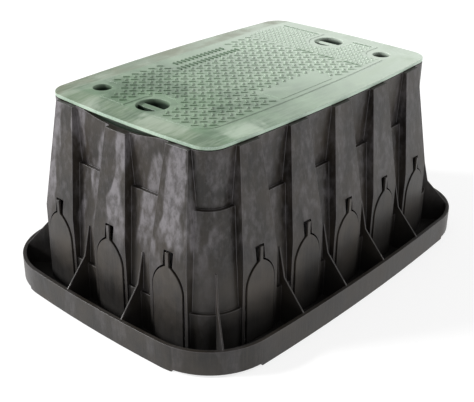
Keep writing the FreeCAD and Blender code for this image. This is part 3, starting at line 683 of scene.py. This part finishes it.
# ------------------------------------------------------------------ sub-assemblies
@dataclass
class BoxBody:
    """The one-piece moulding and its sixteen push-in plates."""

    nodes: dict[str, bpy.types.Object]
    finish: BodyPlastic = BodyPlastic()
    plate_finish: BodyPlastic = BodyPlastic("plate_plastic", warm=(0.0480, 0.0395, 0.0310),
                                            flow_strength=0.4)
    edge: Softening = Softening(0.8 * MM)
    plate_edge: Softening = Softening(0.7 * MM)
    # paler rounded edges: wear, and painted highlight
    edge_wear: float = 0.30

    def build(self) -> None:
        """Make the moulding and the plates."""
        # the rounded edges get a paler copy: wear, and painted highlight
        worn_highlight = replace(self.finish, name="body_plastic_worn_highlight", wear=self.edge_wear).material()
        shell = self.edge.copy_of(self.nodes["box_body"], "box_shell", self.finish.material(), worn_highlight)
        place_piece(shell, "box", Slot.BODY, "box_body")
        material = self.plate_finish.material()
        for name in sorted(n for n in self.nodes if n.startswith("knockout_")):
            _, wall, number = name.split("_")
            plate = self.plate_edge.copy_of(self.nodes[name], f"plate_{wall}_{number}_skin",
                                            material)
            place_piece(plate, f"plate_{wall}_{number}", Slot.PLATE, name)


Plan = tuple[float, float, float, float]


@dataclass(frozen=True)
class Tread:
    """One diagonal tread: the spacing and size of its bars, and the X it begins and ends at."""

    pitch: float
    half_long: float
    half_wide: float
    radius: float
    tall: float
    start: float
    end: float


@dataclass
class Lid:
    """The green lid: its moulding, its treads, one blank pad, thin ridges in the dark green of
    painted shadow, and plain marks.

    A plan is the low X, high X, low Y and high Y of a rectangle.  A row of marks is its Y and
    where along X it begins and ends, in millimetres, as is the marks' pitch.
    """

    nodes: dict[str, bpy.types.Object]
    finish: LidPlastic = LidPlastic()
    # dark green of painted shadow for the thin ridges; the plain marks share it
    soiled: LidPlastic = LidPlastic(
        "lid_shadow_plastic", deep=(0.035, 0.065, 0.036), green=(0.060, 0.105, 0.060),
        bleach=(0.150, 0.230, 0.150), milk=(0.160, 0.230, 0.155))
    edge: Softening = Softening(1.0 * MM, 3)
    half_x: float = 286.0 * MM
    half_y: float = 156.0 * MM
    corner: float = 38.0 * MM
    hole_x: float = LOCK_X
    hole_y: float = LOCK_Y
    lift_bay_x: float = 247.0 * MM
    lift_bay: float = 43.0 * MM
    bolt_bay: float = 37.0 * MM
    margin: float = 8.0 * MM
    coarse: Tread = Tread(15.25 * MM, 6.9 * MM, 1.6 * MM, 1.4 * MM, 2.4 * MM, -1.0, 160.0 * MM)
    fine: Tread = Tread(8.4 * MM, 3.6 * MM, 1.0 * MM, 0.9 * MM, 1.2 * MM, 164.0 * MM, 1.0)
    reach: int = 75
    shift_x: float = 3.3 * MM
    shift_y: float = -12.9 * MM
    pad: Plan = (-0.086, 0.066, -0.148, -0.098)
    # thin ridges put where raised edges cast dark shadow lines
    ridges: tuple[Plan, ...] = (
        (0.1625, 0.1655, -0.026, 0.016), (0.1625, 0.1655, -0.080, -0.040),
        (0.1625, 0.1655, -0.144, -0.103), (0.2785, 0.2810, -0.090, -0.044),
        (0.2785, 0.2810, 0.044, 0.140))
    pad_tall: float = 1.0 * MM
    pad_corner: float = 5.0 * MM
    mark_ground: Plan = (-0.102, 0.088, 0.087, 0.140)
    mark_rows: tuple[Colour, ...] = ((126.0, -74.0, 68.0), (99.0, -90.0, 76.0))
    mark_pitch: float = 11.0
    mark_half: tuple[float, float] = (2.0 * MM, 6.4 * MM)
    mark_corner: float = 1.0 * MM
    mark_tall: float = 2.2 * MM
    face: float = 0.0

    def build(self) -> None:
        """Make every piece of the lid."""
        green, soiled = self.finish.material(), self.soiled.material()
        self.face = top_of(self.nodes["lid"])
        moulding = self.edge.copy_of(self.nodes["lid"], "lid_moulding", green)
        place_piece(moulding, "lid", Slot.LID, "lid")
        for name, mesh, material in (
                ("lid_tread", self.bars(self.coarse, "lid_tread"), green),
                ("lid_grain", self.bars(self.fine, "lid_grain"), green),
                ("lid_pad", self.blocks((self.pad,), "lid_pad"), green),
                # the ridges are painted shadow in dark green; the marks share that green
                ("lid_ridges", self.blocks(self.ridges, "lid_ridges"), soiled),
                ("lid_marks", self.plain_marks(), soiled)):
            place_piece(make_object(name, mesh, material, False), "lid", Slot.LID)

    def lattice(self, tread: Tread) -> tuple[np.ndarray, np.ndarray]:
        """Places and directions of a tread's bars.

        A square lattice of the pitch is turned by 45 degrees; points whose two counts add up to
        an even number carry a bar along (1, -1), the others one along (1, 1).

        Args:
            tread: the tread to lay out.

        Returns:
            N by 2 places and N angles.
        """
        counts = np.arange(-self.reach, self.reach + 1)
        i, j = (a.ravel() for a in np.meshgrid(counts, counts, indexing="ij"))
        step = tread.pitch / math.sqrt(2)
        x = (i + j) * step + self.shift_x
        y = (j - i) * step + self.shift_y
        turn = np.where((i + j) % 2 == 0, -math.pi / 4, math.pi / 4)
        keep = self.open_ground(x, y) & (x > tread.start) & (x < tread.end)
        return np.stack([x[keep], y[keep]], axis=-1), turn[keep]

    def open_ground(self, x: np.ndarray, y: np.ndarray) -> np.ndarray:
        """Where tread bars stand: inside the rounded plateau, clear of holes, pad and marks."""
        over_x = np.maximum(np.abs(x) - (self.half_x - self.corner), 0.0)
        over_y = np.maximum(np.abs(y) - (self.half_y - self.corner), 0.0)
        keep = np.hypot(over_x, over_y) < self.corner - self.margin
        # the bay round the lift pocket is a half circle that runs out to the border
        keep &= np.hypot(np.maximum(self.lift_bay_x - np.abs(x), 0.0), y) > self.lift_bay
        # the bay round the bolt runs out to both borders of its corner
        side = np.where(x < 0.0, 1.0, -1.0)
        keep &= np.hypot(np.maximum(self.hole_x - np.abs(x), 0.0),
                         np.maximum(self.hole_y - y * side, 0.0)) > self.bolt_bay
        for plan, margin in ((self.pad, self.margin), (self.mark_ground, 0.0)):
            low_x, high_x, low_y, high_y = plan
            keep &= ~((x > low_x - margin) & (x < high_x + margin)
                      & (y > low_y - margin) & (y < high_y + margin))
        return keep

    def bars(self, tread: Tread, name: str) -> bpy.types.Mesh:
        """Mesh of a tread's bars: one small soft slab stamped at each lattice place.

        Args:
            tread: the tread to make.
            name: name of the mesh.

        Returns:
            The mesh of all its bars.
        """
        shape, faces = soft_slab(tread.half_long, tread.half_wide, tread.radius, tread.tall, 8)
        flat, turns = self.lattice(tread)
        centres = np.concatenate([flat, np.full((len(flat), 1), self.face)], axis=1)
        LOG.info("%d bars in %s", len(flat), name)
        return mesh_of(name, *stamped(shape, faces, centres, turns))

    def blocks(self, plans: tuple[Plan, ...], name: str) -> bpy.types.Mesh:
        """Mesh of low raised blocks with rounded corners.

        Args:
            plans: plan of each block.
            name: name of the mesh.

        Returns:
            The mesh of all the blocks.
        """
        points, blocks, count = [], [], 0
        for low_x, high_x, low_y, high_y in plans:
            radius = min(self.pad_corner, (high_x - low_x) / 2.2)
            shape, faces = soft_slab((high_x - low_x) / 2, (high_y - low_y) / 2, radius,
                                     self.pad_tall, 48)
            centre = np.array([(low_x + high_x) / 2, (low_y + high_y) / 2, self.face])
            points.append(shape + centre)
            blocks += [block + count for block in faces]
            count += len(shape)
        return mesh_of(name, np.concatenate(points), blocks)

    def plain_marks(self) -> bpy.types.Mesh:
        """Mesh of two rows of short upright bars, plain stand-ins for a cast-in marking."""
        shape, faces = soft_slab(*self.mark_half, self.mark_corner, self.mark_tall, 8)
        rows = []
        for level, low, high in self.mark_rows:
            x = np.arange(low, high, self.mark_pitch) * MM
            rows.append(np.stack([x, np.full_like(x, level * MM), np.full_like(x, self.face)],
                                 axis=-1))
        centres = np.concatenate(rows)
        return mesh_of("lid_marks", *stamped(shape, faces, centres, np.zeros(len(centres))))


@dataclass
class LockPoint:
    """Hex bolt, washer and captive nut of one lock point."""

    number: int
    x: float
    y: float
    material: bpy.types.Material
    head_foot: float = 350.4 * MM
    head_tall: float = 6.4 * MM
    flats: float = 8.0 * MM
    shank: float = 5.0 * MM
    length: float = 35.0 * MM
    thread: float = 1.5 * MM
    thread_deep: float = 0.8 * MM
    thread_start: float = 4.0 * MM
    tip: float = 1.0 * MM
    washer_foot: float = 348.4 * MM
    nut_foot: float = 318.3 * MM
    nut_tall: float = 8.0 * MM
    nut_bore: float = 5.1 * MM
    chamfer: float = math.radians(30)

    def build(self) -> None:
        """Make the three pieces."""
        tag = str(self.number)
        bolt = make_object(f"bolt_{tag}_threaded", self.bolt(), self.material)
        place_piece(bolt, f"bolt_{tag}", Slot.METAL, f"lock_bolt_{tag}")
        washer = make_object(f"washer_{tag}_flat", self.washer(), self.material)
        place_piece(washer, f"washer_{tag}", Slot.METAL, f"bolt_washer_{tag}")
        nut = make_object(f"nut_{tag}_hex", self.nut(), self.material)
        place_piece(nut, "box", Slot.METAL, f"captive_nut_{tag}")

    def hexagon(self, angle: np.ndarray) -> np.ndarray:
        """Distance from the axis to a hexagon's side: half flats over cos of the angle from it."""
        folded = (angle + math.pi / 6) % (math.pi / 3) - math.pi / 6
        return self.flats / np.cos(folded)

    def bolt(self) -> bpy.types.Mesh:
        """Head with a turned-off crown, then a shank whose radius rises and falls along a helix."""
        around, rise = 48, 96
        angle = np.arange(around) * 2 * math.pi / around
        side = self.hexagon(angle)
        crown = np.minimum(side, self.flats * 1.02)
        top = self.head_foot + self.head_tall
        chamfer = (side - self.flats) * math.tan(self.chamfer)
        rings = [(crown * 0.97, np.full(around, top)), (crown, top - chamfer * 0.2 - 0.2 * MM),
                 (side, top - chamfer - 0.3 * MM), (side, np.full(around, self.head_foot)),
                 (np.full(around, self.shank), np.full(around, self.head_foot))]
        threaded = self.length - self.thread_start - self.tip
        for step in range(rise + 1):
            level = self.head_foot - self.thread_start - threaded * step / rise
            turn = (level / self.thread + angle / (2 * math.pi)) % 1.0
            groove = np.abs(turn * 2 - 1) * self.thread_deep
            rings.append((self.shank - groove, np.full(around, level)))
        rings.append((np.full(around, self.shank - 1.2 * MM),
                      np.full(around, self.head_foot - self.length)))
        stack = np.array([np.stack([self.x + r * np.cos(angle), self.y + r * np.sin(angle), z],
                                   axis=-1) for r, z in rings])
        return mesh_of("bolt", *closed_stack(stack))

    def washer(self) -> bpy.types.Mesh:
        """Flat ring with softened edges."""
        soft, bore, rim, tall = 0.3 * MM, 5.3 * MM, 10.5 * MM, 2.0 * MM
        profile = [(bore, 0.0), (rim - soft, 0.0), (rim, soft), (rim, tall - soft),
                   (rim - soft, tall), (bore + soft, tall), (bore, tall - soft)]
        return mesh_of("washer", *turned(profile, (self.x, self.y, self.washer_foot), 48))

    def nut(self) -> bpy.types.Mesh:
        """Hexagonal ring, its corners turned off above and below, round a plain bore."""
        around = 48
        angle = np.arange(around) * 2 * math.pi / around
        side = self.hexagon(angle)
        inner = np.minimum(side, self.flats * 1.01)
        bore = np.full(around, self.nut_bore)
        cut = (side - self.flats) * math.tan(self.chamfer) + 0.2 * MM
        foot, top = self.nut_foot, self.nut_foot + self.nut_tall
        flat = np.ones(around)
        rings = [(bore, flat * foot), (inner, flat * foot), (side, foot + cut), (side, top - cut),
                 (inner, flat * top), (bore, flat * top), (bore, flat * foot)]
        stack = np.array([np.stack([self.x + r * np.cos(angle), self.y + r * np.sin(angle), z],
                                   axis=-1) for r, z in rings])
        return mesh_of("nut", stack.reshape(-1, 3), [ring_faces(len(rings), around)])


# ------------------------------------------------------------------ studio
@dataclass
class Studio:
    """Camera, pale floor and soft light."""

    camera_place: Colour = (-1.24301, -1.06119, 0.93086)
    right: Colour = (0.6628, -0.74873, 0.00974)
    above: Colour = (0.33351, 0.30683, 0.89142)
    ahead: Colour = (0.67042, 0.58758, -0.45308)
    lens: float = 67.732
    sky: float = 0.40
    floor_half: float = 30.0

    def build(self) -> None:
        """Make the camera, the floor and the lights."""
        self.camera()
        self.floor()
        self.world()
        self.window("key_light", (-0.60, 0.62, 0.52), 3.5, 14.0)
        self.window("fill_light", (0.62, -0.62, 0.48), 1.0, 40.0)
        bpy.context.scene.view_settings.view_transform = "Standard"

    def camera(self) -> None:
        """Long lens on the corner of the box, looking down a little."""
        data = bpy.data.cameras.new("camera")
        data.lens = self.lens
        data.clip_end = 100.0
        camera = bpy.data.objects.new("camera", data)
        right, above, ahead = (np.array(v) / np.linalg.norm(v)
                               for v in (self.right, self.above, self.ahead))
        turn = np.eye(4)
        turn[:3, :3] = np.stack([right, above, -ahead], axis=1)
        turn[:3, 3] = self.camera_place
        camera.matrix_world = Matrix(turn.tolist())
        bpy.context.scene.collection.objects.link(camera)
        bpy.context.scene.camera = camera

    def floor(self) -> None:
        """Wide flat floor, just under the box."""
        half = self.floor_half
        points = np.array([(-half, -half, 0), (half, -half, 0), (half, half, 0), (-half, half, 0)])
        mesh = mesh_of("floor", points, [np.array([[0, 1, 2, 3]])])
        floor = make_object("floor", mesh, PaleFloor().material())

    def world(self) -> None:
        """Even white light from all round."""
        world = bpy.data.worlds.new("white_room")
        world.use_nodes = True
        ground = world.node_tree.nodes["Background"]
        ground.inputs["Color"].default_value = (1.0, 1.0, 1.0, 1.0)
        ground.inputs["Strength"].default_value = self.sky
        bpy.context.scene.world = world

    def window(self, name: str, toward: Colour, strength: float, spread: float) -> None:
        """Far soft light, the same all over the floor.

        Args:
            name: name of the light.
            toward: direction from the box to the light.
            strength: its irradiance in watts a square metre.
            spread: angle it fills in the sky, in degrees.
        """
        data = bpy.data.lights.new(name, "SUN")
        data.energy = strength
        data.angle = math.radians(spread)
        light = bpy.data.objects.new(name, data)
        light.rotation_mode = "QUATERNION"
        light.rotation_quaternion = Vector(toward).to_track_quat("Z", "Y")
        bpy.context.scene.collection.objects.link(light)


def main() -> None:
    """Build every sub-assembly round the frame."""
    logging.basicConfig(level=logging.INFO, format="%(name)s: %(message)s")
    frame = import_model()
    Studio().build()
    BoxBody(frame["nodes"]).build()
    Lid(frame["nodes"]).build()
    steel = ZincSteel().material()
    for number, side in ((1, -1.0), (2, 1.0)):
        LockPoint(number, side * LOCK_X, -side * LOCK_Y, steel).build()


if __name__ == "__main__":
    main()
